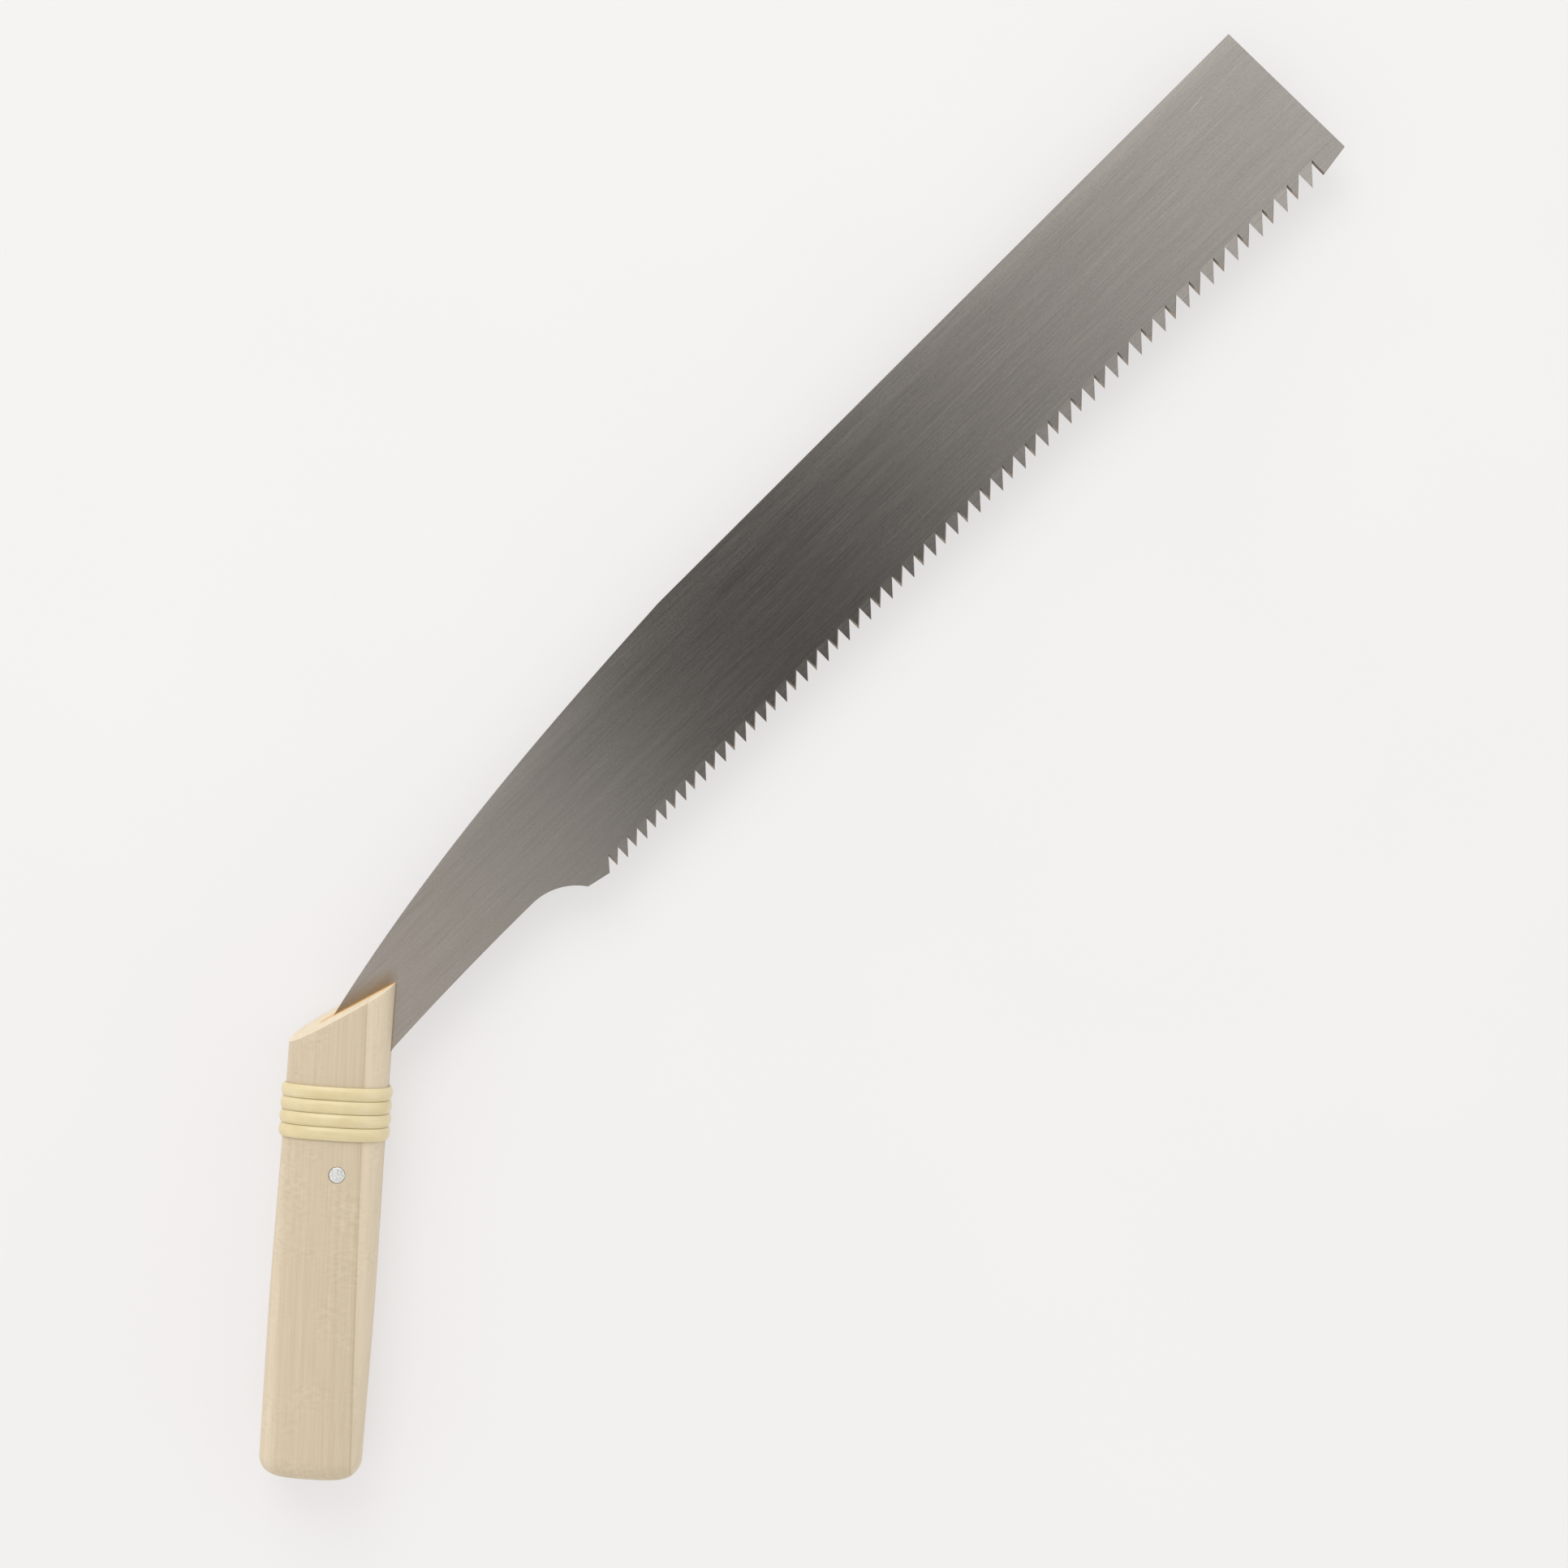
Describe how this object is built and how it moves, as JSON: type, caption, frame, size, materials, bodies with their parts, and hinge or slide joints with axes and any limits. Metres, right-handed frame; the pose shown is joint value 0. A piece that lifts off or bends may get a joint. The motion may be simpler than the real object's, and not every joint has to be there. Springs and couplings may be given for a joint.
{
  "type": "pull saw, bent neck",
  "caption": "Pull saw: a brushed steel plate with raked teeth, a bent neck and a sawn pale wood grip bound with cord and riveted.",
  "frame": {"origin": "Middle of the bounding box, at its underside: the level that the cord binding's lower side touches as the saw lies on its side.", "axes": "+X along the tooth points from heel to toe, +Y from the tooth points towards the spine, +Z square to the plate, out of the side that shows the filed bevels of every second tooth."},
  "size_m": [0.5092, 0.1254, 0.0256],
  "materials": {
    "blade_steel": "Carbon steel brushed lengthwise, satin, warm grey, with a fine lengthwise grain",
    "grip_wood": "Pale bare softwood with a faint straight grain, planed smooth and unvarnished",
    "binding_cord": "Smooth pale yellow half-round cord, satin",
    "rivet_metal": "Light grey rivet metal, slightly mottled, satin"
  },
  "bodies": {
    "root": {"saw_blade": "blade_steel", "handle": "grip_wood", "cord_binding": "binding_cord", "rivet_tube": "rivet_metal", "rivet_pin": "rivet_metal"}
  },
  "joints": []
}
